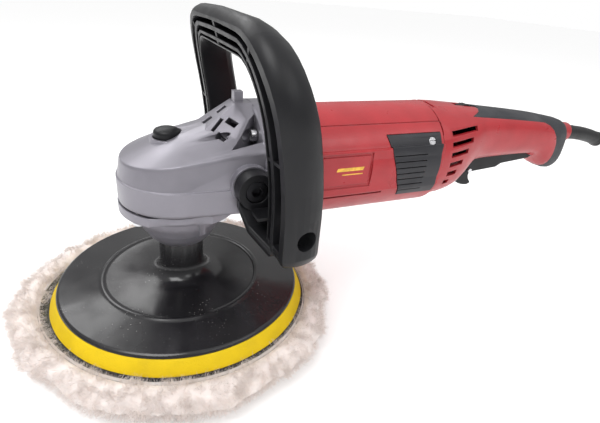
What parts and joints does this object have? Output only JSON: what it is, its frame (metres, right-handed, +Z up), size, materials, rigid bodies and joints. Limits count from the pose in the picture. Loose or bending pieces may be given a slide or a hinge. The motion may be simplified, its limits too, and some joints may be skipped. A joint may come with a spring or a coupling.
{
  "type": "rotary polisher",
  "caption": "Right-angle rotary polisher with a wool bonnet on a foam-backed plate, a D-shaped front handle, a paddle-trigger rear handle and a bent cord protector.",
  "frame": {"origin": "centre of the wool face on the spindle axis", "axes": "+Z up the spindle towards the gear head, +X back along the motor towards the rear handle; the machine is symmetric about the XZ plane apart from small parts"},
  "size_m": [0.551, 0.2176, 0.2209],
  "materials": {
    "wool": "long white pile",
    "dark_fabric": "woven backing",
    "foam": "open-cell foam",
    "black_gloss": "satin black",
    "steel": "turned",
    "bearing_steel": "ground",
    "gear_steel": "cut teeth",
    "bronze": "sintered",
    "cast_alloy": "cast, painted silver",
    "plated_steel": "zinc plated",
    "red_plastic": "satin red",
    "dark_plastic": "fine texture",
    "handle_plastic": "satin black",
    "laminated_steel": "laminated",
    "copper": "enamelled wire",
    "brass_holder": "pressed",
    "carbon": "carbon block",
    "soft_rubber": "matt",
    "white_plastic": "moulded",
    "circuit_board": "resin"
  },
  "bodies": {
    "machine": {"spindle_bearing_outer": "bearing_steel", "spindle_bush": "bronze", "gear_case": "cast_alloy", "bearing_cover": "cast_alloy", "cover_screws": "plated_steel", "lock_spring": "steel", "front_bearing_outer": "bearing_steel", "bearing_retainer": "steel", "case_screws": "plated_steel", "motor_housing": "red_plastic", "fan_baffle": "dark_plastic", "stator_core": "laminated_steel", "field_coils": "copper", "rear_bearing_outer": "bearing_steel", "carbon_brushes": "carbon", "brush_springs": "steel", "brush_holders": "brass_holder", "side_cover_left": "dark_plastic", "side_cover_right": "dark_plastic", "cover_plate_screws": "plated_steel", "rear_shell_left": "red_plastic", "rear_shell_right": "red_plastic", "shell_screws": "plated_steel", "soft_grip": "soft_rubber", "trigger_pin": "steel", "switch_body": "dark_plastic", "trigger_spring": "steel", "dial_potentiometer": "circuit_board", "cord_sleeve": "soft_rubber", "cord_clamp": "dark_plastic", "clamp_screws": "steel", "loop_handle": "handle_plastic", "handle_bolts": "plated_steel", "badge_plate": "red_plastic"},
    "spindle_group": {"spindle": "steel", "spindle_bearing_inner": "bearing_steel", "ring_gear": "gear_steel", "gear_key": "steel", "spindle_circlip": "steel", "hub_insert": "steel", "backing_plate": "black_gloss", "foam_ring": "foam", "hook_disc": "dark_fabric", "wool_backing": "dark_fabric", "wool_pile": "wool"},
    "armature_group": {"armature_shaft": "steel", "armature_core": "laminated_steel", "armature_windings": "copper", "commutator": "copper", "cooling_fan": "dark_plastic", "pinion": "gear_steel", "pinion_nut": "steel", "front_bearing_inner": "bearing_steel", "rear_bearing_inner": "bearing_steel"},
    "lock_group": {"lock_button": "black_gloss", "lock_pin": "steel"},
    "trigger_group": {"trigger": "dark_plastic"},
    "lock_on_group": {"lock_on_pin": "plated_steel"},
    "plunger_group": {"switch_plunger": "white_plastic"},
    "dial_group": {"speed_dial": "dark_plastic"}
  },
  "joints": [
    {"name": "spindle_spin", "type": "hinge", "parent": "machine", "child": "spindle_group", "pos_m": [0, 0, 0], "axis": [0, 0, 1], "continuous": true},
    {"name": "armature_spin", "type": "hinge", "parent": "machine", "child": "armature_group", "pos_m": [0.1, 0, 0.122], "axis": [1, 0, 0], "continuous": true},
    {"name": "lock_press", "type": "slide", "parent": "machine", "child": "lock_group", "axis": [0, 0, -1], "range_m": [0, 0.0045], "stiffness_N_per_m": 500, "springref_m": -0.004, "deforming": ["lock_spring"]},
    {"name": "trigger_squeeze", "type": "hinge", "parent": "machine", "child": "trigger_group", "pos_m": [0.326, 0, 0.1146], "axis": [0, 1, 0], "range_deg": [0, 3.2], "stiffness_Nm_per_rad": 5, "springref_deg": -4.58, "deforming": ["trigger_spring"]},
    {"name": "plunger_slide", "type": "slide", "parent": "machine", "child": "plunger_group", "axis": [0, 0, 1], "range_m": [0, 0.0029]},
    {"name": "lock_on_slide", "type": "slide", "parent": "trigger_group", "child": "lock_on_group", "axis": [0, 1, 0], "range_m": [0, 0.003], "stiffness_N_per_m": 300, "springref_m": -0.002},
    {"name": "dial_turn", "type": "hinge", "parent": "machine", "child": "dial_group", "pos_m": [0.238, 0, 0.1464], "axis": [0, 1, 0], "range_deg": [0, 270]}
  ],
  "couplings": [
    {"joint": "armature_spin", "follows": "spindle_spin", "ratio": 4},
    {"joint": "plunger_slide", "follows": "trigger_squeeze", "m_per_rad": 0.05}
  ]
}
